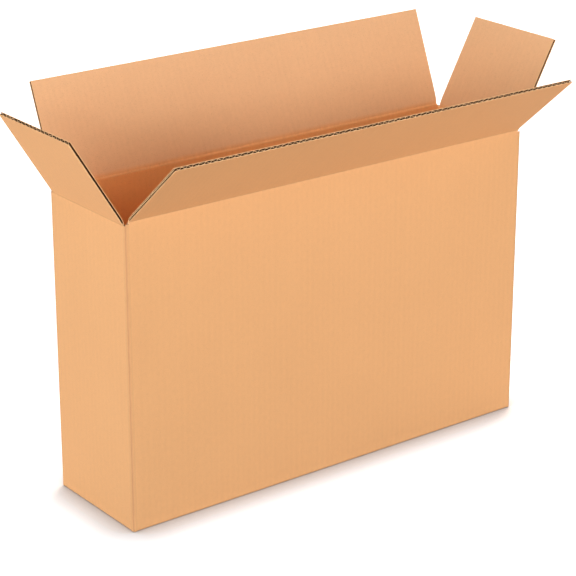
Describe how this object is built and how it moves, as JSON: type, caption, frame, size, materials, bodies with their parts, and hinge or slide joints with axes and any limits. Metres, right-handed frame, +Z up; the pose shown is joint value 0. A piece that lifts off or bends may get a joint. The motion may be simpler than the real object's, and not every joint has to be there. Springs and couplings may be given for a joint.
{
  "type": "open cardboard box",
  "caption": "Tall narrow overlap slotted box of kraft corrugated board, bottom glued shut, deep top flaps standing open at their own angles.",
  "frame": {"origin": "middle of the base, on the surface it stands on", "axes": "+X along the long front panel to its right end, +Y from the front panel to the rear, +Z up through the open top"},
  "size_m": [0.6902, 0.2856, 0.4789],
  "materials": {
    "wall_board": "matt brown kraft liner on corrugated board",
    "flap_board": "matt brown kraft liners with an open fluted edge"
  },
  "bodies": {
    "box_body": {"box_body": "wall_board"},
    "front_flap": {"front_flap": "flap_board"},
    "rear_flap": {"rear_flap": "flap_board"},
    "left_flap": {"left_flap": "flap_board"},
    "right_flap": {"right_flap": "flap_board"}
  },
  "joints": [
    {"name": "front_flap_fold", "type": "hinge", "parent": "box_body", "child": "front_flap", "pos_m": [0, -0.076, 0.3671], "axis": [1, 0, 0], "range_deg": [-131.1, 126.6]},
    {"name": "rear_flap_fold", "type": "hinge", "parent": "box_body", "child": "rear_flap", "pos_m": [0, 0.076, 0.3671], "axis": [-1, 0, 0], "range_deg": [-112, 153]},
    {"name": "left_flap_fold", "type": "hinge", "parent": "box_body", "child": "left_flap", "pos_m": [-0.285, 0, 0.3629], "axis": [0, -1, 0], "range_deg": [-122, 143]},
    {"name": "right_flap_fold", "type": "hinge", "parent": "box_body", "child": "right_flap", "pos_m": [0.285, 0, 0.3629], "axis": [0, 1, 0], "range_deg": [-118.7, 146.3]}
  ]
}
